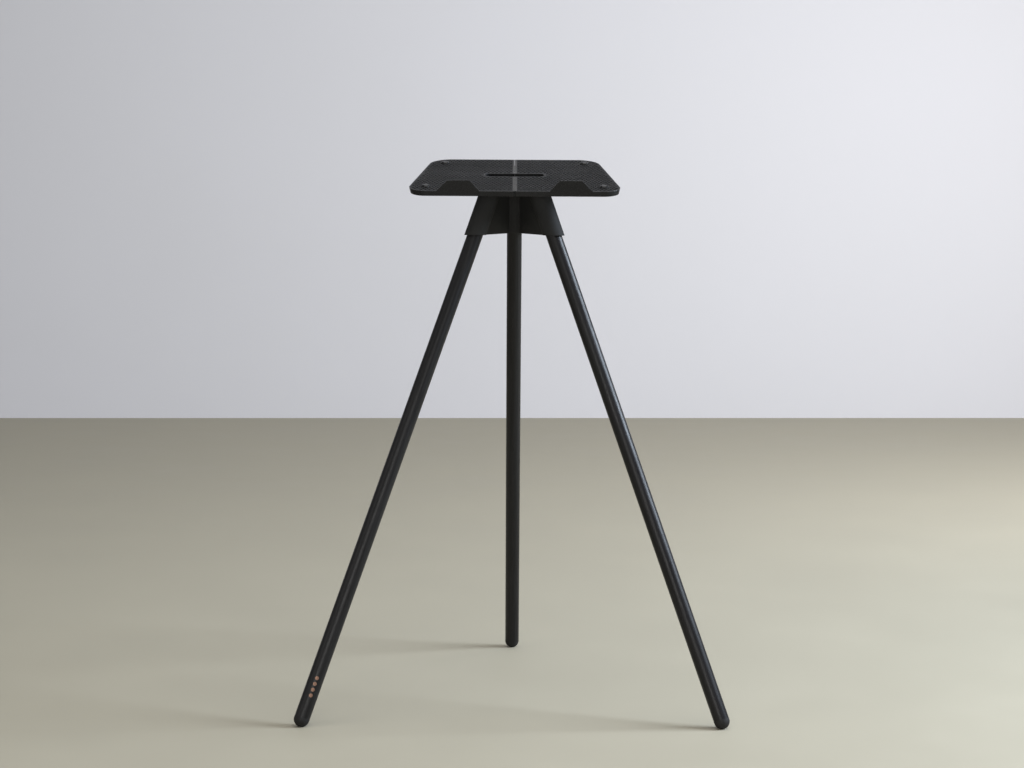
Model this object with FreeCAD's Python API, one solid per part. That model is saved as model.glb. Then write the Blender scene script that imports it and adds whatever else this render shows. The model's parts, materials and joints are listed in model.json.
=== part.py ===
"""Tripod laptop stand: a tilted folding tray of perforated sheet on a hub with three push-in wooden legs.

Units are millimetres. +Z is up, +X is to the right and -Y is the front, where the laptop stops are.
The origin lies on the floor, at the centre of the footprint's bounding box.
"""
import FreeCAD
import Part

import math
import os

from FreeCAD import Placement, Rotation, Vector

# ---- legs ----
foot_circle_radius = 463.0       # tripod axis to the centre of each foot's dome
leg_diameter = 30.0
leg_azimuths = {"left": 210.0, "right": 330.0, "rear": 90.0}
leg_top_chamfer = 1.5
leg_travel_gap = 0.3             # between a seated leg and the socket's floor

# ---- feet ----
foot_flat_depth = 0.8            # how much of the dome the flat on the floor takes off
foot_skirt = 4.0                 # rubber above the dome's equator
foot_plug_diameter = 12.0
foot_plug_length = 20.0
foot_plug_end_gap = 1.0

# ---- leg end hardware ----
strike_diameter = 24.0
strike_thickness = 3.0
leg_screw_diameter = 4.0
leg_screw_length = 25.0
magnet_diameter = 24.0
magnet_thickness = 4.0
magnet_screw_diameter = 4.0
magnet_screw_length = 9.0
pocket_clearance = 0.1           # radial, round a disc in its pocket
screw_clearance = 0.1            # radial, round a screw's shank
screw_head_ratio = 2.0           # wood screw: head diameter over shank diameter

# ---- hub ----
hub_bottom = 932.0               # height of the hub's flat underside
socket_circle_radius = 88.5      # tripod axis to each socket's axis, at the hub's underside
socket_depth = 78.0              # along the leg, from the hub's underside to the socket's floor
socket_clearance = 0.25          # radial, round the leg
socket_wall = 4.9                # at the mouth
socket_draft = 0.3               # degrees; the outside grows towards the tray
web_wall = 3.0
web_overlap = 0.8                # how far a web's outside lies inside the socket's outer radius
web_front_reach = 14.0           # front socket's axis to the web's inner face, at the hub's underside
web_rear_reach = -1.0            # the same at the rear socket's axis, which the face passes behind
hub_roof = 12.0                  # solid thickness under the platform

# ---- tray ----
tray_tilt = 13.5                 # degrees, front edge low
tray_centre_height = 1048.5      # top of the sheet at the tripod's axis
tray_depth = 258.0
tray_front_half_width = 209.2    # where the side edge would meet the front edge
tray_back_half_width = 163.9     # where the side edge would meet the back edge
front_corner_radius = 32.0
back_corner_radius = 45.0
seam_gap = 0.4
seam_corner_radius = 2.0
slot_length = 117.0
slot_width = 25.0

# ---- tray frame ----
frame_height = 10.0
frame_draft = 3.0                # how far the side and back walls lean in at the bottom
frame_land = 2.2                 # flat rim round the sheet
seam_land = 3.4
slot_land = 2.5
frame_wall = 2.5
ledge_width = 2.6
ledge_thickness = 1.5
rib_thickness = 2.0
stop_height = 21.0
stop_base = (67.0, 150.0)        # distance from the seam, at the tray's surface
stop_top = (86.0, 129.0)         # distance from the seam, at the top
stop_corner_radius = 3.5
stop_thickness = 2.0

# ---- perforated sheet ----
sheet_thickness = 1.5
sheet_clearance = 0.15
perforation_diameter = 5.0
perforation_pitch = 8.0
perforation_margin = 1.2         # least metal between a hole and any edge

# ---- laptop pads ----
pad_diameter = 17.0
pad_height = 3.0
pad_shoulder = 1.0
pad_top_diameter = 11.0
pad_stem_diameter = 8.0
pad_barb_diameter = 10.5
pad_barb_height = 2.5
pad_front = (172.0, -91.0)       # from the tray's centre
pad_back = (140.0, 99.0)

# ---- fold hinges ----
hinge_offset = 92.0              # tray centre to the middle of each hinge
hinge_length = 40.0
hinge_middle_knuckle = 16.0
hinge_end_gap = 0.3
hinge_axis_drop = 0.4            # below the frame's underside
knuckle_radius = 2.4
knuckle_relief = 0.4
hinge_pin_radius = 1.2
hinge_running_clearance = 0.03
leaf_thickness = 1.0
leaf_top = 2.6                   # below the tray's surface
rivet_diameter = 2.4
rivet_head_diameter = 4.0
rivet_spacing = 26.0
rivet_drop = 5.6                 # below the tray's surface

# ---- platform that carries the tray ----
platform_beside_slot = (11.5, 47.5)  # hand slot's ends and sides to the platform's edges
platform_corner_radius = 10.0
platform_bottom = 20.0           # below the tray's surface
platform_base_gap = 1.0          # between the frame's underside and the platform's base
platform_sheet_gap = 0.2         # between an island's top and the sheet
platform_side_gap = 1.0          # all round the frame walls that drop between the islands
tray_magnet_diameter = 16.0
tray_magnet_thickness = 4.0
tray_magnet_inset = (24.0, 22.0) # from the platform's edges
platform_screw_inset = 7.0       # from a leg's axis towards the tripod's, at the platform's underside
platform_screw_diameter = 5.0
platform_screw_head_diameter = 9.6
platform_screw_bite = 9.0        # screw length in the hub

# ---- working values ----
far = 2000.0                     # longer than anything here
overrun = 1.0                    # how far a cutting shape runs past what it cuts
tolerance = 1e-6

# ---- values that follow from the ones above ----
leg_radius = leg_diameter / 2
foot_centre_height = leg_radius - foot_flat_depth
splay = math.atan2(foot_circle_radius - socket_circle_radius, hub_bottom - foot_centre_height)
apex_height = hub_bottom + socket_circle_radius / math.tan(splay)   # where the legs' axes meet
socket_radius = leg_radius + socket_clearance
socket_outer_radius = socket_radius + socket_wall
web_outside = socket_outer_radius - web_overlap
hub_mouth = (hub_bottom - foot_centre_height) / math.cos(splay)     # along the leg, from the foot's centre
socket_floor = hub_mouth + socket_depth
leg_top = socket_floor - leg_travel_gap
footprint_offset = -foot_circle_radius / 4                          # brings the footprint's middle to Y = 0
half_depth = tray_depth / 2
seam_half_gap = seam_gap / 2
slot_half_width = slot_width / 2
slot_half_length = slot_length / 2
platform_half_width = slot_half_length + platform_beside_slot[0]
platform_half_depth = slot_half_width + platform_beside_slot[1]
platform_to_apex = apex_height - tray_centre_height + platform_bottom
platform_screw_circle = platform_to_apex * math.tan(splay) - platform_screw_inset
platform_base_top = frame_height + platform_base_gap
platform_top = sheet_thickness + platform_sheet_gap
hinge_axis_depth = frame_height + hinge_axis_drop
rib_near_platform = platform_half_width + platform_side_gap
rib_across = platform_half_depth + platform_side_gap

shapes = {}


# ---- helpers ----
def leg_place(azimuth):
    """Placement whose +Z runs up a leg from the centre of its foot's dome."""
    a = math.radians(azimuth)
    base = Vector(foot_circle_radius * math.cos(a), foot_circle_radius * math.sin(a), foot_centre_height)
    return Placement(base, Rotation(Vector(math.sin(a), -math.cos(a), 0), math.degrees(splay)))


def tray_place():
    """Placement of the tray's own frame: origin at the middle of its surface, +Y up the slope."""
    return Placement(Vector(0, 0, tray_centre_height), Rotation(Vector(1, 0, 0), tray_tilt))


def placed(shape, placement):
    moved = shape.copy()
    moved.transformShape(placement.toMatrix(), True)
    return moved


def mirrored(shape):
    return shape.mirror(Vector(0, 0, 0), Vector(1, 0, 0))


def cylinder(radius, low, high, x=0.0, y=0.0):
    return Part.makeCylinder(radius, high - low, Vector(x, y, low))


def cone(radius_low, radius_high, low, high, x=0.0, y=0.0):
    return Part.makeCone(radius_low, radius_high, high - low, Vector(x, y, low))


def block(x_range, y_range, z_range):
    """Box between three pairs of limits."""
    size = [high - low for low, high in (x_range, y_range, z_range)]
    return Part.makeBox(*size, Vector(x_range[0], y_range[0], z_range[0]))


def rounded_wire(corners, z=0.0):
    """Closed wire through (x, y, radius) corners, each rounded with its radius."""
    places = [Vector(x, y, z) for x, y, _ in corners]
    starts, arcs = [], []
    for i, point in enumerate(places):
        to_last = (places[i - 1] - point).normalize()
        to_next = (places[(i + 1) % len(places)] - point).normalize()
        radius = corners[i][2]
        if radius == 0:
            starts.append((point, point))
            arcs.append(None)
            continue
        half = to_last.getAngle(to_next) / 2
        reach = radius / math.tan(half)
        middle = point + (to_last + to_next).normalize() * (radius / math.sin(half) - radius)
        begin, end = point + to_last * reach, point + to_next * reach
        starts.append((begin, end))
        arcs.append(Part.Arc(begin, middle, end).toShape())
    edges = []
    for i, arc in enumerate(arcs):
        if arc:
            edges.append(arc)
        a, b = starts[i][1], starts[(i + 1) % len(starts)][0]
        if (b - a).Length > tolerance:
            edges.append(Part.makeLine(a, b))
    return Part.Wire(edges)


def prism(wire, low, high):
    """Solid between two heights over a flat wire that lies at z = 0."""
    face = Part.Face(wire)
    face.translate(Vector(0, 0, low))
    return face.extrude(Vector(0, 0, high - low))


def countersunk(diameter, head_diameter, length, clearance=0.0):
    """Flat-headed screw or rivet along -Z, its head's face at z = 0, or its hole if given a clearance."""
    radius, head = diameter / 2 + clearance, head_diameter / 2 + clearance
    head_depth = (head_diameter - diameter) / 2
    return cone(radius, head, -head_depth, 0).fuse(cylinder(radius, -length, -head_depth)).removeSplitter()


# ---- outline of the right half of the tray ----
def half_outline(front=0.0, side=0.0, seam=0.0, slot=0.0):
    """Corners of the half tray's outline, moved in by the given amounts."""
    lean = math.atan2(tray_front_half_width - tray_back_half_width, tray_depth)

    def side_at(y):
        return tray_front_half_width - (y + half_depth) * math.tan(lean) - side / math.cos(lean)

    near = seam_half_gap + seam
    low, high = -half_depth + front, half_depth - side
    notch, notch_end = slot_half_width + slot, slot_half_length + slot
    return [
        (near, low, max(seam_corner_radius - seam, 0.0)),
        (side_at(low), low, front_corner_radius - max(side, front)),
        (side_at(high), high, back_corner_radius - side),
        (near, high, max(seam_corner_radius - seam, 0.0)),
        (near, notch, 0.0),
        (notch_end, notch, notch),
        (notch_end, -notch, notch),
        (near, -notch, 0.0),
    ]


def tray_frame():
    """Cast frame of the right half: leaning wall, rebate for the sheet, ledge, ribs, laptop stop."""
    top = rounded_wire(half_outline())
    bottom = rounded_wire(half_outline(side=frame_draft), -frame_height)
    outer = Part.makeLoft([top, bottom], True, True)
    rebate = rounded_wire(half_outline(frame_land, frame_land, seam_land, slot_land))
    ledge_in = frame_land + ledge_width
    ledge = rounded_wire(half_outline(ledge_in, ledge_in, seam_land + ledge_width, slot_land + ledge_width))
    cavity = rounded_wire(half_outline(frame_wall, frame_wall + frame_draft, seam_land, slot_land))
    ledge_bottom = sheet_thickness + ledge_thickness
    frame = outer.cut(prism(rebate, -sheet_thickness, overrun))
    frame = frame.cut(prism(ledge, -ledge_bottom - overrun, -sheet_thickness + overrun))
    frame = frame.cut(prism(cavity, -frame_height - overrun, -ledge_bottom))
    depth_range = (-frame_height, -sheet_thickness)
    rib_range = (rib_near_platform, rib_near_platform + rib_thickness)
    ribs = [block(rib_range, (-half_depth, half_depth), depth_range)]
    for low in (rib_across, -rib_across - rib_thickness):
        ribs.append(block((seam_half_gap, far), (low, low + rib_thickness), depth_range))
    ribs = [rib.common(outer) for rib in ribs]
    frame = frame.fuse(ribs).fuse(laptop_stop())
    for middle in (hinge_offset, -hinge_offset):
        frame = frame.cut(hinge_seat(middle))
    for x, y in (pad_front, pad_back):
        frame = frame.cut(cylinder(pad_barb_diameter / 2 + pocket_clearance, -far, -sheet_thickness, x, y))
    return frame.removeSplitter()


def laptop_stop():
    """Upright tab that rises from the front wall, flush with its outer face."""
    corners = [
        (stop_base[0], -sheet_thickness, 0.0),
        (stop_base[0], 0.0, 0.0),
        (stop_top[0], stop_height, stop_corner_radius),
        (stop_top[1], stop_height, stop_corner_radius),
        (stop_base[1], 0.0, 0.0),
        (stop_base[1], -sheet_thickness, 0.0),
    ]
    plate = prism(rounded_wire(corners), 0, stop_thickness)
    upright = Placement(Vector(0, -half_depth + stop_thickness, 0), Rotation(Vector(1, 0, 0), 90))
    return placed(plate, upright)


def perforated_sheet():
    """Sheet of the right half, with round holes in a staggered pattern and two holes for the pads."""
    inset = frame_land + sheet_clearance
    seam_inset, slot_inset = seam_land + sheet_clearance, slot_land + sheet_clearance
    edge = rounded_wire(half_outline(inset, inset, seam_inset, slot_inset))
    plain = Part.Face(edge)
    radius = perforation_diameter / 2
    row_step = perforation_pitch * math.sqrt(3) / 2
    rows = int(half_depth / row_step)
    columns = int(tray_front_half_width / perforation_pitch) + 1
    first = seam_half_gap + seam_inset + perforation_margin + radius
    holes = []
    for row in range(-rows, rows + 1):
        for column in range(columns):
            x = first + (column + 0.5 * (row % 2)) * perforation_pitch
            place = Vector(x, row * row_step, 0)
            if keeps_hole(place, plain, edge, radius):
                holes.append(Part.Wire(Part.makeCircle(radius, place)))
    for x, y in (pad_front, pad_back):
        holes.append(Part.Wire(Part.makeCircle(pad_stem_diameter / 2, Vector(x, y, 0))))
    face = Part.makeFace([edge] + holes, "Part::FaceMakerBullseye")
    face.translate(Vector(0, 0, -sheet_thickness))
    return face.extrude(Vector(0, 0, sheet_thickness))


def keeps_hole(place, plain, edge, radius):
    """True if a hole at place lies inside the sheet, clear of its edge and of the pads."""
    if not plain.isInside(place, tolerance, False):
        return False
    if edge.distToShape(Part.Vertex(place))[0] < radius + perforation_margin:
        return False
    for x, y in (pad_front, pad_back):
        if math.hypot(place.x - x, place.y - y) < radius + pad_barb_diameter / 2 + perforation_margin / 2:
            return False
    return True


def pad(place):
    """Soft pad: low dome with a flat top, a stem through the sheet and a barb under it."""
    x, y = place
    dome = cylinder(pad_diameter / 2, 0, pad_shoulder, x, y)
    dome = dome.fuse(cone(pad_diameter / 2, pad_top_diameter / 2, pad_shoulder, pad_height, x, y))
    stem = cylinder(pad_stem_diameter / 2, -sheet_thickness, 0, x, y)
    low = -sheet_thickness - pad_barb_height
    barb = cone(pad_stem_diameter / 2, pad_barb_diameter / 2, low, -sheet_thickness, x, y)
    return dome.fuse([stem, barb]).removeSplitter()


# ---- fold hinges ----
def along_seam(radius, middle, length):
    """Cylinder round the fold axis."""
    start = Vector(0, middle - length / 2, -hinge_axis_depth)
    return Part.makeCylinder(radius, length, start, Vector(0, 1, 0))


def hinge_seat(middle):
    """Recess in the seam wall for a leaf, the relief for the knuckles and the rivet holes."""
    half = hinge_length / 2
    recess = block(
        (-overrun, seam_half_gap + leaf_thickness),
        (middle - half - hinge_end_gap, middle + half + hinge_end_gap),
        (-hinge_axis_depth - knuckle_radius, -leaf_top + hinge_end_gap),
    )
    relief = along_seam(knuckle_radius + knuckle_relief, middle, hinge_length + 2 * hinge_end_gap)
    return recess.fuse([relief] + [rivet(middle, s, True) for s in (-1, 1)])


def rivet(middle, end, hole=False):
    """Rivet that fixes a leaf of the right half, or its hole."""
    clearance = screw_clearance if hole else 0.0
    body = countersunk(rivet_diameter, rivet_head_diameter, seam_land, clearance)
    turned = Placement(
        Vector(seam_half_gap, middle + end * rivet_spacing / 2, -rivet_drop), Rotation(Vector(0, 1, 0), -90)
    )
    return placed(body, turned)


def leaf_plate(middle):
    """Leaf of the right half before its knuckles."""
    half = hinge_length / 2
    plate = block(
        (seam_half_gap, seam_half_gap + leaf_thickness),
        (middle - half, middle + half),
        (-hinge_axis_depth, -leaf_top),
    )
    return plate.cut([rivet(middle, s, True) for s in (-1, 1)])


def outer_knuckles():
    """(offset from the hinge's middle, length) of the two outer knuckles."""
    length = (hinge_length - hinge_middle_knuckle) / 2 - hinge_end_gap
    offset = (hinge_length - length) / 2
    return [(-offset, length), (offset, length)]


def hinge_leaf_right(middle):
    """Leaf with the middle knuckle, which turns on the pin."""
    leaf = leaf_plate(middle).fuse(along_seam(knuckle_radius, middle, hinge_middle_knuckle))
    for offset, length in outer_knuckles():
        room = length + 2 * hinge_end_gap
        leaf = leaf.cut(along_seam(knuckle_radius + hinge_end_gap, middle + offset, room))
    bore = along_seam(hinge_pin_radius + hinge_running_clearance, middle, hinge_length)
    return leaf.cut(bore).removeSplitter()


def hinge_leaf_left(middle):
    """Leaf with the two outer knuckles, which hold the pin."""
    room = hinge_middle_knuckle + 2 * hinge_end_gap
    leaf = mirrored(leaf_plate(middle)).cut(along_seam(knuckle_radius + hinge_end_gap, middle, room))
    knuckles = [along_seam(knuckle_radius, middle + offset, length) for offset, length in outer_knuckles()]
    leaf = leaf.fuse(knuckles)
    return leaf.cut(along_seam(hinge_pin_radius, middle, hinge_length)).removeSplitter()


# ---- platform ----
def platform():
    """Plate on the hub with four islands that fit up into the tray, and the hand slot."""
    w, d, r = platform_half_width, platform_half_depth, platform_corner_radius
    outline = rounded_wire([(-w, -d, r), (w, -d, r), (w, d, r), (-w, d, r)])
    body = prism(outline, -platform_bottom, -platform_top)
    groove = seam_half_gap + seam_land + ledge_width + platform_side_gap
    body = body.cut(block((-groove, groove), (-far, far), (-platform_base_top, far)))
    reach = slot_land + ledge_width + platform_side_gap
    around_slot = pill(slot_half_length + reach, slot_half_width + reach)
    body = body.cut(prism(around_slot, -platform_base_top, overrun))
    body = body.cut(prism(pill(slot_half_length, slot_half_width), -far, overrun))
    for magnet in tray_magnets(pocket_clearance):
        body = body.cut(magnet)
    return body.cut(platform_screws(screw_clearance)).removeSplitter()


def pill(half_length, half_width):
    """Wire of a slot with round ends."""
    return rounded_wire([
        (-half_length, -half_width, half_width),
        (half_length, -half_width, half_width),
        (half_length, half_width, half_width),
        (-half_length, half_width, half_width),
    ])


def tray_magnets(clearance=0.0):
    x, y = platform_half_width - tray_magnet_inset[0], platform_half_depth - tray_magnet_inset[1]
    radius = tray_magnet_diameter / 2 + clearance
    low = -platform_top - tray_magnet_thickness
    high = -platform_top + clearance
    return [cylinder(radius, low, high, sx * x, sy * y) for sx in (-1, 1) for sy in (-1, 1)]


def platform_screws(clearance=0.0):
    """One screw above each socket, its head in the platform's base; a hole reaches up past the islands."""
    head_radius = platform_screw_head_diameter / 2 + clearance
    length = platform_bottom - platform_base_top + platform_screw_bite
    made = []
    for azimuth in leg_azimuths.values():
        a = math.radians(azimuth)
        x, y = platform_screw_circle * math.cos(a), platform_screw_circle * math.sin(a)
        screw = countersunk(platform_screw_diameter, platform_screw_head_diameter, length, clearance)
        screw.translate(Vector(x, y, -platform_base_top))
        if clearance:
            screw = screw.fuse(cylinder(head_radius, -platform_base_top, 0, x, y))
        made.append(screw)
    return made


# ---- hub ----
def hub():
    """Casting with three leg sockets and two hollow webs, cut square below and sloped above."""
    low = Part.makeBox(far, far, far, Vector(-far / 2, -far / 2, hub_bottom))
    below_tray = Part.makeBox(far, far, far, Vector(-far / 2, -far / 2, -far - platform_bottom))
    envelope = low.common(placed(below_tray, tray_place()))
    room = placed(below_tray, tray_place().multiply(Placement(Vector(0, 0, -hub_roof), Rotation())))
    azimuths = list(leg_azimuths.values())
    sockets = [socket_outside(azimuth) for azimuth in azimuths]
    front = [leg_azimuths["left"], leg_azimuths["right"]]
    webs = [web(azimuth) for azimuth in front]
    body = sockets[0].fuse(sockets[1:] + webs).common(envelope)
    for azimuth in front:
        body = body.cut(web(azimuth, web_wall).cut(sockets).common(room))
    for azimuth in azimuths:
        body = body.cut(along_leg(azimuth, socket_radius, 0, socket_floor))
        pocket_radius = magnet_diameter / 2 + pocket_clearance
        body = body.cut(along_leg(azimuth, pocket_radius, 0, socket_floor + magnet_thickness))
        body = body.cut(magnet_screw(azimuth, screw_clearance))
    body = body.cut([placed(screw, tray_place()) for screw in platform_screws(screw_clearance)])
    return body.removeSplitter()


def along_leg(azimuth, radius, low, high):
    return placed(cylinder(radius, low, high), leg_place(azimuth))


def socket_outside(azimuth):
    """Outer shape of a socket, from well below the hub's underside to well above the tray."""
    run = 2 * socket_depth
    growth = run * math.tan(math.radians(socket_draft))
    low, high = hub_mouth - run, hub_mouth + run
    shape = cone(socket_outer_radius - growth, socket_outer_radius + growth, low, high)
    return placed(shape, leg_place(azimuth))


def leg_axis_at(azimuth, z):
    """Where a leg's axis crosses the height z."""
    reach = (apex_height - z) * math.tan(splay)
    a = math.radians(azimuth)
    return Vector(reach * math.cos(a), reach * math.sin(a), z)


def web(azimuth, inset=0.0):
    """Wall between a front socket's axis and the rear one's, its two faces moved in by the inset."""
    sections = []
    for z in (hub_bottom - overrun, tray_centre_height):
        start, end = leg_axis_at(azimuth, z), leg_axis_at(leg_azimuths["rear"], z)
        outward = Vector(start.x + end.x, start.y + end.y, 0).normalize()
        narrowing = (apex_height - z) / (apex_height - hub_bottom)
        inner_start = start - outward * (web_front_reach * narrowing - inset)
        inner_end = end - outward * (web_rear_reach * narrowing - inset)
        outside = outward * (web_outside - inset)
        corners = [inner_start, inner_end, end + outside, start + outside, inner_start]
        sections.append(Part.makePolygon(corners))
    return Part.makeLoft(sections, True, True)


# ---- leg assemblies ----
def leg(azimuth):
    body = cylinder(leg_radius, foot_skirt, leg_top - leg_top_chamfer)
    body = body.fuse(cone(leg_radius, leg_radius - leg_top_chamfer, leg_top - leg_top_chamfer, leg_top))
    bottom_bore = cylinder(foot_plug_diameter / 2, 0, foot_skirt + foot_plug_length + foot_plug_end_gap)
    recess = cylinder(strike_diameter / 2 + pocket_clearance, leg_top - strike_thickness, leg_top + overrun)
    body = body.cut([bottom_bore, recess, leg_screw_at_top(screw_clearance)])
    return placed(body.removeSplitter(), leg_place(azimuth))


def foot(azimuth):
    """Rubber tip: dome, short skirt and plug, with a flat where it stands on the floor."""
    dome = Part.makeSphere(leg_radius).common(cylinder(leg_radius + overrun, -leg_radius - overrun, 0))
    skirt = cylinder(leg_radius, 0, foot_skirt)
    plug = cylinder(foot_plug_diameter / 2, 0, foot_skirt + foot_plug_length)
    tip = placed(dome.fuse([skirt, plug]).removeSplitter(), leg_place(azimuth))
    return tip.common(Part.makeBox(far, far, far, Vector(-far / 2, -far / 2, 0)))


def leg_screw_at_top(clearance=0.0):
    head = screw_head_ratio * leg_screw_diameter
    screw = countersunk(leg_screw_diameter, head, leg_screw_length, clearance)
    screw.translate(Vector(0, 0, leg_top))
    return screw


def strike(azimuth):
    disc = cylinder(strike_diameter / 2, leg_top - strike_thickness, leg_top)
    return placed(disc.cut(leg_screw_at_top(screw_clearance)), leg_place(azimuth))


def socket_magnet(azimuth):
    ring = cylinder(magnet_diameter / 2, socket_floor, socket_floor + magnet_thickness)
    return placed(ring, leg_place(azimuth)).cut(magnet_screw(azimuth, screw_clearance))


def magnet_screw(azimuth, clearance=0.0):
    """Screw through a socket's magnet, with its head towards the leg."""
    head = screw_head_ratio * magnet_screw_diameter
    screw = countersunk(magnet_screw_diameter, head, magnet_screw_length, clearance)
    turned = Placement(Vector(0, 0, socket_floor), Rotation(Vector(1, 0, 0), 180))
    return placed(placed(screw, turned), leg_place(azimuth))


# ---- build and export ----
def on_tray(shape):
    return placed(shape, tray_place())


def build():
    shapes["hub"] = hub()
    shapes["platform"] = on_tray(platform())
    shapes["platform_screws"] = Part.makeCompound([on_tray(s) for s in platform_screws()])
    shapes["tray_magnets"] = Part.makeCompound([on_tray(m) for m in tray_magnets()])
    shapes["socket_magnets"] = Part.makeCompound([socket_magnet(a) for a in leg_azimuths.values()])
    shapes["socket_magnet_screws"] = Part.makeCompound([magnet_screw(a) for a in leg_azimuths.values()])
    for name, azimuth in leg_azimuths.items():
        shapes[f"leg_{name}"] = leg(azimuth)
        shapes[f"foot_{name}"] = foot(azimuth)
        shapes[f"strike_plate_{name}"] = strike(azimuth)
        shapes[f"strike_screw_{name}"] = placed(leg_screw_at_top(), leg_place(azimuth))
    build_tray()


def build_tray():
    halves = {"tray_frame": tray_frame(), "tray_sheet": perforated_sheet()}
    halves["pad_front"] = pad(pad_front)
    halves["pad_back"] = pad(pad_back)
    hinges = {"front": -hinge_offset, "back": hinge_offset}
    rivets = [rivet(middle, end) for middle in hinges.values() for end in (-1, 1)]
    halves["hinge_rivets"] = Part.makeCompound(rivets)
    for name, shape in halves.items():
        shapes[f"{name}_right"] = on_tray(shape)
        shapes[f"{name}_left"] = on_tray(mirrored(shape))
    for name, middle in hinges.items():
        shapes[f"hinge_leaf_{name}_right"] = on_tray(hinge_leaf_right(middle))
        shapes[f"hinge_leaf_{name}_left"] = on_tray(hinge_leaf_left(middle))
        shapes[f"hinge_pin_{name}"] = on_tray(along_seam(hinge_pin_radius, middle, hinge_length))


def export():
    os.makedirs("parts", exist_ok=True)
    for name, shape in sorted(shapes.items()):
        shape = placed(shape, Placement(Vector(0, footprint_offset, 0), Rotation()))
        solids = shape.Solids
        whole = Part.makeCompound(solids) if len(solids) > 1 else solids[0]
        good = whole.isValid() and all(s.isClosed() and s.Volume > 0 for s in solids)
        whole.exportStep(f"parts/{name}.step")
        state = "valid" if good else "BAD"
        print(f"{name}: {len(solids)} solid(s), {whole.Volume / 1000:.2f} cm3, {state}")


build()
export()
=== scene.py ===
"""Looks of the tripod laptop stand: procedural materials, a small printed mark, stage, light, camera."""
import json
import math

import bmesh
import bpy
from mathutils import Matrix, Vector


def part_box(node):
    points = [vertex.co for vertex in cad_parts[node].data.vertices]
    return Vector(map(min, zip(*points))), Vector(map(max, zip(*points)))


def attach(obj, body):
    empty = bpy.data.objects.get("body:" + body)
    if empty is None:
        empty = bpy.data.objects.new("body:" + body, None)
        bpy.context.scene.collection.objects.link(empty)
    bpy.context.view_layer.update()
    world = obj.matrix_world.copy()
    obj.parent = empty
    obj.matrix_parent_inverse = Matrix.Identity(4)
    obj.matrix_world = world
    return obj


# ---- camera: the photograph's viewing angle ----
CAMERA_DISTANCE = 4.284          # from the tripod's axis
CAMERA_HEIGHT = 1.0744
CAMERA_SIDE = -0.0031            # from the same axis, to the right
CAMERA_PITCH = math.radians(5.85)
CAMERA_ROLL = math.radians(0.32)
CAMERA_LENS = 76.25              # millimetres
CAMERA_SENSOR = 36.0             # millimetres wide

# ---- stage ----
WALL_BEHIND = 4.68
WALL_TURN = 0.048                # the wall runs slightly further back towards the right
STAGE_HALF_WIDTH = 9.0
WALL_HEIGHT = 7.0
FLOOR_FRONT = 9.0
SKY_STRENGTH = 0.246             # even light from all round

# ---- printed mark on the left leg: a plain row of dots ----
LEG_RADIUS = 0.015
MARK_FROM_FOOT = 0.051           # leg's lower end to the first dot's middle
MARK_DOTS = 4
MARK_STEP = 0.0115
MARK_DOT_RADIUS = 0.0037
MARK_DIRECTION = Vector((0.10, -1.0, 0.0))    # the way the dots face
MARK_LIFT = 0.00004              # the print's thickness above the wood
MARK_RINGS = 5
MARK_SEGMENTS = 40
MARK_INNERMOST = 0.05            # radius of the innermost ring, in ring steps

# ---- looks ----
NOISE_SPAN = (0.3, 0.7)          # most values of a noise lie between these
FLAT_LIKENESS = 0.995            # of the rounded to the true normal, on a flat face
EDGE_LIKENESS = 0.82             # and on a sharp edge

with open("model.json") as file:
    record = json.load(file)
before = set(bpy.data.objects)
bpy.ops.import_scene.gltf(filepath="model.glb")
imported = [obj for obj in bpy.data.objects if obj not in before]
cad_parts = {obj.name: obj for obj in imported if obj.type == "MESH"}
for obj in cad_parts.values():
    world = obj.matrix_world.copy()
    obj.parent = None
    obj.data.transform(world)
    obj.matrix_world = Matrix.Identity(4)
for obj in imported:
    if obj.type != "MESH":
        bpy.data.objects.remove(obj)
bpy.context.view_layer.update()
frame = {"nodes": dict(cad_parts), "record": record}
record = frame["record"]
LEGS = ("left", "right", "rear")


# ---- node helpers ----
def new_material(name):
    """Material, its Principled shader, a function that adds nodes, and one that joins to the shader."""
    material = bpy.data.materials.new(name)
    material.use_nodes = True
    tree = material.node_tree
    shader = tree.nodes["Principled BSDF"]

    def add(kind, links=None, **settings):
        made = tree.nodes.new("ShaderNode" + kind)
        for key, value in settings.items():
            setattr(made, key, value)
        for key, value in (links or {}).items():
            if isinstance(value, bpy.types.NodeSocket):
                tree.links.new(value, made.inputs[key])
            else:
                made.inputs[key].default_value = value
        return made

    def join(source, target):
        tree.links.new(source, shader.inputs[target])

    return material, shader, add, join


def object_space(add, scale=(1, 1, 1), place=None):
    """Object coordinates, optionally in the frame of a place, then stretched."""
    vector = add("TexCoord").outputs["Object"]
    if place is not None:
        moved = add("Mapping", {"Vector": vector}, vector_type="TEXTURE")
        moved.inputs["Location"].default_value = place.to_translation()
        moved.inputs["Rotation"].default_value = place.to_euler()
        vector = moved.outputs["Vector"]
    stretched = add("Mapping", {"Vector": vector, "Scale": scale})
    return stretched.outputs["Vector"]


def noise(add, vector, scale, detail=3.0, roughness=0.5, distortion=0.0):
    links = {"Vector": vector, "Scale": scale, "Detail": detail, "Roughness": roughness,
             "Distortion": distortion}
    return add("TexNoise", links).outputs["Fac"]


def spread(add, value, low, high, to_low=0.0, to_high=1.0):
    """Clamped linear map of a value from one range to another."""
    links = {"Value": value, "From Min": low, "From Max": high, "To Min": to_low, "To Max": to_high}
    return add("MapRange", links).outputs["Result"]


def blend(add, factor, colour_a, colour_b):
    """Mix of two colours. The node's colour sockets are inputs 6 and 7 and output 2."""
    mix = add("Mix", data_type="RGBA")
    for socket, value in ((mix.inputs[0], factor), (mix.inputs[6], colour_a), (mix.inputs[7], colour_b)):
        if isinstance(value, bpy.types.NodeSocket):
            mix.id_data.links.new(value, socket)
        else:
            socket.default_value = value
    return mix.outputs[2]


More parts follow.
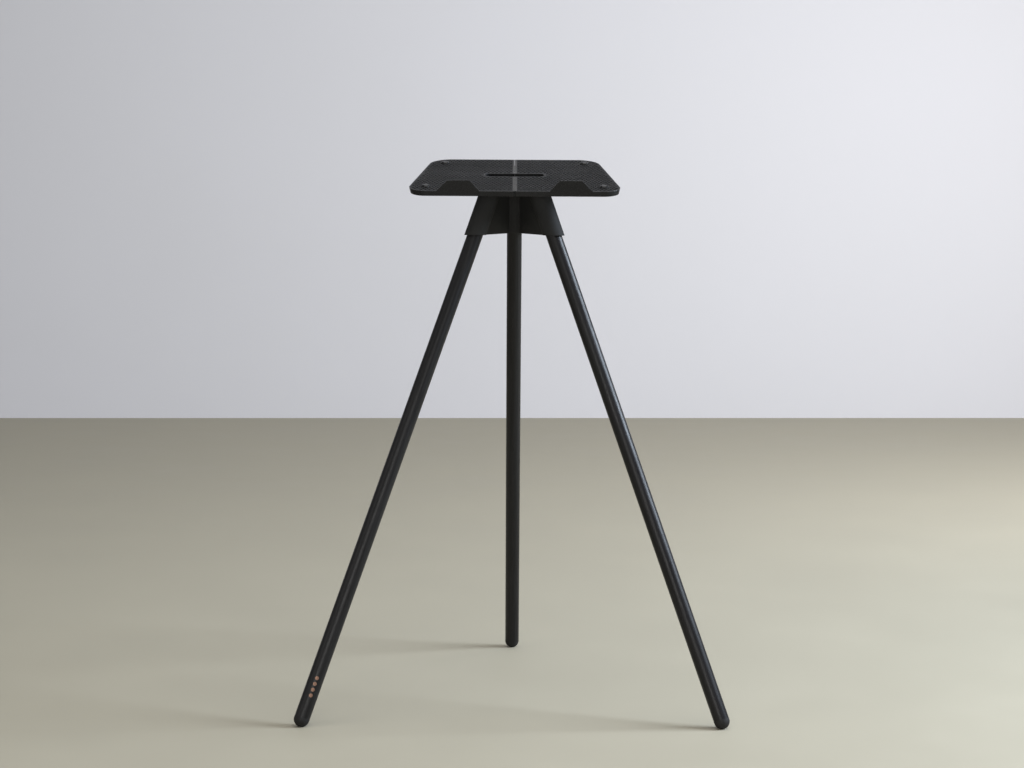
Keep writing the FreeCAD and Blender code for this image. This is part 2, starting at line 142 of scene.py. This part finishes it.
def maths(add, operation, a, b):
    return add("Math", {0: a, 1: b}, operation=operation).outputs[0]


def dot_product(add, a, b):
    return add("VectorMath", {0: a, 1: b}, operation="DOT_PRODUCT").outputs["Value"]


def bump(add, height, distance, strength, normal=None):
    links = {"Height": height, "Distance": distance, "Strength": strength}
    if normal is not None:
        links["Normal"] = normal
    return add("Bump", links).outputs["Normal"]


def soft_edge(add, radius):
    """(rounded normal, mask that is 1 on edges) from the bevel of the mesh's sharp edges."""
    rounded = add("Bevel", {"Radius": radius}, samples=6).outputs["Normal"]
    flat = add("NewGeometry").outputs["Normal"]
    return rounded, spread(add, dot_product(add, rounded, flat), FLAT_LIKENESS, EDGE_LIKENESS)


def colour(r, g, b):
    return (r, g, b, 1.0)


def joint_axis(name):
    for joint in record["behaviour"]["joints"]:
        if joint["name"] == name:
            return Vector(joint["axis"])
    raise KeyError(name)


# ---- materials ----
def seam_reflection_mask(add, space, half_width):
    """Painted reflection: 1 on the tray's upward faces along its middle, a little patchy, and 0 elsewhere.
    """
    across = add("SeparateXYZ", {"Vector": add("TexCoord").outputs["Object"]}).outputs["X"]
    from_seam = maths(add, "ABSOLUTE", across, 0.0)
    near = spread(add, from_seam, half_width * 0.97, half_width * 1.03, 1.0, 0.0)
    facing = dot_product(add, add("TexCoord").outputs["Normal"], joint_axis("tray_lift"))
    upward = spread(add, facing, 0.9, 0.98)
    patchy = spread(add, noise(add, space, 160.0, 5.0, 0.7), 0.3, 0.6, 0.75, 1.0)
    return maths(add, "MULTIPLY", maths(add, "MULTIPLY", near, upward), patchy)


def powder_coat(name, base, worn, grain=1500.0, relief=0.00012, rough=(0.44, 0.62), edge=0.0009, seam=0.0,
                gloss=0.2):
    """Fine-textured powder coat: orange-peel relief, soft patches of sheen, slightly rubbed edges.

    A seam half width paints a lighter band on the upward faces along the tray's middle: a painted
    reflection of light, not wear.
    """
    material, shader, add, join = new_material(name)
    space = object_space(add)
    peel = noise(add, space, grain, 2.0)
    patches = noise(add, space, 14.0, 4.0, 0.6)
    rounded, edges = soft_edge(add, edge)
    speckle = spread(add, noise(add, space, grain * 2.2, 1.0), 0.56, 0.72)
    deep = blend(add, spread(add, patches, *NOISE_SPAN), base, colour(*(c * 1.35 for c in base[:3])))
    flecked = blend(add, maths(add, "MULTIPLY", speckle, 0.35), deep, worn)
    if seam:
        # painted reflection: a lighter colour on the upward faces along the seam
        painted_seam_reflection = colour(0.046, 0.043, 0.039)
        flecked = blend(add, seam_reflection_mask(add, space, seam), flecked, painted_seam_reflection)
    rubbed = maths(add, "MULTIPLY", edges, spread(add, noise(add, space, 220.0, 5.0, 0.7), 0.38, 0.62))
    join(blend(add, maths(add, "MULTIPLY", rubbed, 0.55), flecked, worn), "Base Color")
    sheen_patch = spread(add, patches, 0.25, 0.75, rough[0], rough[1])
    join(maths(add, "SUBTRACT", sheen_patch, maths(add, "MULTIPLY", rubbed, 0.12)), "Roughness")
    join(bump(add, peel, relief, 0.5, rounded), "Normal")
    shader.inputs["Specular IOR Level"].default_value = gloss
    return material


def stained_wood(name, place):
    """Black-stained close-grained wood under a thin satin lacquer; the grain runs along the leg."""
    material, shader, add, join = new_material(name)
    long_grain = noise(add, object_space(add, (1, 1, 0.035), place), 230.0, 7.0, 0.62, 0.6)
    growth = noise(add, object_space(add, (1, 1, 0.012), place), 70.0, 3.0, 0.5, 1.2)
    pores = spread(add, noise(add, object_space(add, (1, 1, 0.05), place), 1500.0, 2.0), 0.60, 0.70)
    flecks = spread(add, noise(add, object_space(add, (1, 1, 0.22), place), 620.0, 1.0), 0.66, 0.74)
    dark, light = colour(0.0045, 0.0043, 0.0047), colour(0.0155, 0.0145, 0.0155)
    banded = blend(add, spread(add, growth, 0.35, 0.65), dark, colour(0.009, 0.0086, 0.0092))
    grained = blend(add, maths(add, "MULTIPLY", spread(add, long_grain, 0.42, 0.68), 0.7), banded, light)
    flecked = blend(add, maths(add, "MULTIPLY", flecks, 0.4), grained, colour(0.026, 0.0225, 0.0205))
    join(blend(add, maths(add, "MULTIPLY", pores, 0.8), flecked, colour(0.002, 0.002, 0.002)), "Base Color")
    satin = spread(add, long_grain, 0.35, 0.7, 0.32, 0.45)
    join(maths(add, "ADD", satin, maths(add, "MULTIPLY", pores, 0.2)), "Roughness")
    relief = bump(add, pores, -0.00008, 0.6)
    join(bump(add, long_grain, 0.00016, 0.5, relief), "Normal")
    shader.inputs["Specular IOR Level"].default_value = 0.25
    return material


def rubber(name, base, dusty, rough=(0.58, 0.82)):
    """Moulded rubber: very fine pits, a little dust that dulls it unevenly."""
    material, shader, add, join = new_material(name)
    space = object_space(add)
    dust = spread(add, noise(add, space, 90.0, 6.0, 0.65), 0.45, 0.75)
    rounded, edges = soft_edge(add, 0.0006)
    toned = blend(add, maths(add, "MULTIPLY", dust, 0.5), base, dusty)
    join(blend(add, maths(add, "MULTIPLY", edges, 0.35), toned, dusty), "Base Color")
    join(spread(add, dust, 0.0, 1.0, *rough), "Roughness")
    join(bump(add, noise(add, space, 2600.0, 2.0), 0.00006, 0.5, rounded), "Normal")
    shader.inputs["Specular IOR Level"].default_value = 0.3
    return material


def moulded_plastic(name):
    """Glass-filled moulding with a spark-eroded texture and faint flow streaks."""
    material, shader, add, join = new_material(name)
    flow = noise(add, object_space(add, (0.25, 1, 1)), 55.0, 5.0, 0.6, 1.5)
    texture = noise(add, object_space(add), 1900.0, 2.0)
    rounded, edges = soft_edge(add, 0.0008)
    dark, light = colour(0.008, 0.008, 0.0085), colour(0.015, 0.015, 0.016)
    streaked = blend(add, spread(add, flow, 0.35, 0.7), dark, light)
    join(blend(add, maths(add, "MULTIPLY", edges, 0.3), streaked, colour(0.04, 0.04, 0.042)), "Base Color")
    join(spread(add, flow, *NOISE_SPAN, 0.5, 0.66), "Roughness")
    join(bump(add, texture, 0.00009, 0.5, rounded), "Normal")
    shader.inputs["Specular IOR Level"].default_value = 0.3
    return material


def worked_metal(name, base, stained, rough, stretch=(1, 1, 0.08)):
    """Bare or plated metal: drawn scratches, cloudy stain and brighter rubbed edges."""
    material, shader, add, join = new_material(name)
    scratches = noise(add, object_space(add, stretch), 1800.0, 3.0, 0.6)
    cloud = noise(add, object_space(add), 130.0, 5.0, 0.6)
    rounded, edges = soft_edge(add, 0.0004)
    tinted = blend(add, spread(add, cloud, 0.4, 0.7), base, stained)
    bright = colour(*(min(1.0, c * 1.5) for c in base[:3]))
    join(blend(add, maths(add, "MULTIPLY", edges, 0.6), tinted, bright), "Base Color")
    join(spread(add, scratches, *NOISE_SPAN, rough, rough + 0.18), "Roughness")
    join(bump(add, scratches, 0.00003, 0.4, rounded), "Normal")
    shader.inputs["Metallic"].default_value = 1.0
    return material


def copper_print(name):
    """Thin metallic print, a little patchy where it has rubbed."""
    material, shader, add, join = new_material(name)
    wear = noise(add, object_space(add), 900.0, 5.0, 0.7)
    fresh, rubbed = colour(0.30, 0.165, 0.11), colour(0.13, 0.08, 0.06)
    join(blend(add, spread(add, wear, 0.35, 0.7), fresh, rubbed), "Base Color")
    join(spread(add, wear, *NOISE_SPAN, 0.38, 0.6), "Roughness")
    join(bump(add, wear, 0.00003, 0.4), "Normal")
    shader.inputs["Metallic"].default_value = 0.55
    return material


def stage_surface(name, tone_a, tone_b, scale):
    """Plain pale surface with faint clouding."""
    material, shader, add, join = new_material(name)
    cloud = noise(add, object_space(add), scale, 5.0, 0.55)
    join(blend(add, spread(add, cloud, *NOISE_SPAN), tone_a, tone_b), "Base Color")
    join(spread(add, cloud, *NOISE_SPAN, 0.62, 0.8), "Roughness")
    return material


# ---- legs' own frames ----
def leg_frame(side):
    """Matrix at a leg's middle whose Z runs down the leg."""
    low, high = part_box("leg_" + side)
    turn = joint_axis(f"leg_{side}_pull").to_track_quat("Z", "Y").to_matrix().to_4x4()
    return Matrix.Translation((low + high) / 2) @ turn


# ---- materials on the nodes; a later line wins where two prefixes match ----
def dress(prefixes, material):
    """Puts a material on every CAD node whose name starts with one of the prefixes."""
    for name, obj in frame["nodes"].items():
        if name.startswith(prefixes):
            obj.data.materials.clear()
            obj.data.materials.append(material)


def dress_nodes():
    dark, worn = colour(0.0205, 0.0205, 0.0203), colour(0.05, 0.05, 0.052)
    cast = powder_coat("cast_hub", dark, worn, 1100.0, 0.00016, (0.52, 0.68), edge=0.0035, gloss=0.06)
    dress(("hub",), cast)
    dark, worn = colour(0.0045, 0.0045, 0.0047), colour(0.13, 0.13, 0.134)
    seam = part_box("tray_sheet_right")[0].x
    dress(("tray_frame",), powder_coat("frame_coat", dark, worn, rough=(0.3, 0.42), edge=0.0015, seam=seam))
    dark, worn = colour(0.0042, 0.0041, 0.0041), colour(0.06, 0.058, 0.058)
    dress(("tray_sheet",), powder_coat("sheet_coat", dark, worn, 1900.0, 0.0001, (0.4, 0.54), edge=0.0004))
    dress(("platform",), moulded_plastic("platform_moulding"))
    dark, dusty = colour(0.0075, 0.0075, 0.008), colour(0.03, 0.029, 0.028)
    dress(("pad_",), rubber("silicone_pad", dark, dusty, (0.22, 0.34)))
    dark, dusty = colour(0.0085, 0.0082, 0.0085), colour(0.03, 0.028, 0.026)
    dress(("foot_",), rubber("foot_rubber", dark, dusty))
    plated = worked_metal("zinc_plate", colour(0.42, 0.42, 0.44), colour(0.28, 0.27, 0.26), 0.28)
    dress(("strike_", "platform_screws", "socket_magnet_screws"), plated)
    steel = worked_metal("burnished_steel", colour(0.17, 0.17, 0.175), colour(0.1, 0.095, 0.09), 0.34)
    dress(("hinge_",), steel)
    clear, cloudy = colour(0.6, 0.58, 0.55), colour(0.45, 0.43, 0.4)
    dress(("tray_magnets", "socket_magnets"), worked_metal("nickel_magnet", clear, cloudy, 0.16, (1, 1, 1)))
    for side in LEGS:
        dress(("leg_" + side,), stained_wood("stained_wood_" + side, leg_frame(side)))


# ---- printed mark ----
def wrapped(place, along, across):
    """Point on the leg's skin: along its axis from its middle, and across, measured round the skin."""
    radius = LEG_RADIUS + MARK_LIFT
    facing = (place.to_3x3().inverted() @ MARK_DIRECTION).to_2d()
    angle = math.atan2(facing.y, facing.x) + across / radius
    return place @ Vector((radius * math.cos(angle), radius * math.sin(angle), along))


def add_dot(mesh, place, along):
    """Round dot that follows the leg's skin, made of narrow rings so that it stays on it."""
    angles = [2 * math.pi * k / MARK_SEGMENTS for k in range(MARK_SEGMENTS)]
    rows = []
    for i in range(MARK_RINGS + 1):
        radius = MARK_DOT_RADIUS * max(i, MARK_INNERMOST) / MARK_RINGS
        points = [wrapped(place, along + radius * math.cos(a), radius * math.sin(a)) for a in angles]
        rows.append([mesh.verts.new(point) for point in points])
    mesh.faces.new(rows[0])
    for inner, outer in zip(rows, rows[1:]):
        for k in range(MARK_SEGMENTS):
            n = (k + 1) % MARK_SEGMENTS
            mesh.faces.new((inner[k], outer[k], outer[n], inner[n]))


def printed_mark():
    """Row of dots near the left foot."""
    place = leg_frame("left")
    low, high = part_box("leg_left")
    lower_end = (high - low).z / 2 / abs(joint_axis("leg_left_pull").z)
    mesh = bmesh.new()
    for index in range(MARK_DOTS):
        add_dot(mesh, place, lower_end - MARK_FROM_FOOT - index * MARK_STEP)
    bmesh.ops.recalc_face_normals(mesh, faces=mesh.faces)
    data = bpy.data.meshes.new("leg_mark")
    mesh.to_mesh(data)
    mesh.free()
    data.materials.append(copper_print("copper_print"))
    mark = bpy.data.objects.new("leg_mark", data)
    bpy.context.collection.objects.link(mark)
    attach(mark, "leg_left")


# ---- stage, light, camera ----
def plane(name, corners, material):
    data = bpy.data.meshes.new(name)
    data.from_pydata(corners, [], [(0, 1, 2, 3)])
    data.materials.append(material)
    made = bpy.data.objects.new(name, data)
    bpy.context.collection.objects.link(made)


def build_stage():
    w, front = STAGE_HALF_WIDTH, -FLOOR_FRONT
    left, right = (WALL_BEHIND + WALL_TURN * x for x in (-w, w))
    floor = stage_surface("pale_floor", colour(0.382, 0.351, 0.268), colour(0.402, 0.370, 0.285), 3.0)
    wall = stage_surface("pale_wall", colour(0.66, 0.65, 0.67), colour(0.68, 0.67, 0.695), 0.8)
    plane("floor", [(-w, front, 0), (w, front, 0), (w, right, 0), (-w, left, 0)], floor)
    plane("wall", [(-w, left, 0), (w, right, 0), (w, right, WALL_HEIGHT), (-w, left, WALL_HEIGHT)], wall)


def area_light(name, place, target, size, energy, tint):
    """Rectangular lamp that faces a target, with its energy in watts."""
    data = bpy.data.lights.new(name, "AREA")
    data.shape = "RECTANGLE"
    data.size, data.size_y = size
    data.energy = energy
    data.color = tint
    lamp = bpy.data.objects.new(name, data)
    lamp.location = place
    lamp.rotation_euler = (Vector(target) - Vector(place)).to_track_quat("-Z", "Y").to_euler()
    bpy.context.collection.objects.link(lamp)


def build_lights():
    aim = (0.0, 0.0, 0.6)
    area_light("window_right", (3.4, -0.4, 2.2), aim, (1.8, 1.1), 225.0, (0.76, 0.86, 1.0))
    area_light("soft_top", (0.6, -1.2, 4.2), aim, (4.0, 4.0), 96.0, (1.0, 0.985, 0.96))
    area_light("soft_left", (-3.6, -2.2, 1.9), aim, (2.4, 2.4), 18.0, (1.0, 0.98, 0.95))
    area_light("soft_front", (-0.5, -5.2, 1.05), (0.0, 0.0, 0.95), (2.6, 1.4), 64.0, (1.0, 0.985, 0.96))
    area_light("wall_wash", (2.6, 2.2, 1.7), (0.5, WALL_BEHIND, 0.9), (2.4, 2.0), 44.0, (1.0, 0.99, 1.0))
    world = bpy.data.worlds.new("studio")
    world.use_nodes = True
    background = world.node_tree.nodes["Background"]
    background.inputs["Color"].default_value = colour(0.9, 0.92, 0.95)
    background.inputs["Strength"].default_value = SKY_STRENGTH
    bpy.context.scene.world = world
    bpy.context.scene.view_settings.view_transform = "Standard"


def tripod_axis():
    """Place on the floor under the tripod's axis, which is the mean of the three feet."""
    feet = [sum(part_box("foot_" + side), Vector()) / 2 for side in LEGS]
    middle = sum(feet, Vector()) / len(feet)
    return Vector((middle.x, middle.y, 0.0))


def build_camera():
    data = bpy.data.cameras.new("camera")
    data.lens = CAMERA_LENS
    data.sensor_width = CAMERA_SENSOR
    camera = bpy.data.objects.new("camera", data)
    place = tripod_axis() + Vector((CAMERA_SIDE, -CAMERA_DISTANCE, CAMERA_HEIGHT))
    pitch = Matrix.Rotation(math.pi / 2 - CAMERA_PITCH, 4, "X")
    camera.matrix_world = Matrix.Translation(place) @ pitch @ Matrix.Rotation(CAMERA_ROLL, 4, "Z")
    bpy.context.collection.objects.link(camera)
    bpy.context.scene.camera = camera


dress_nodes()
printed_mark()
build_stage()
build_lights()
build_camera()
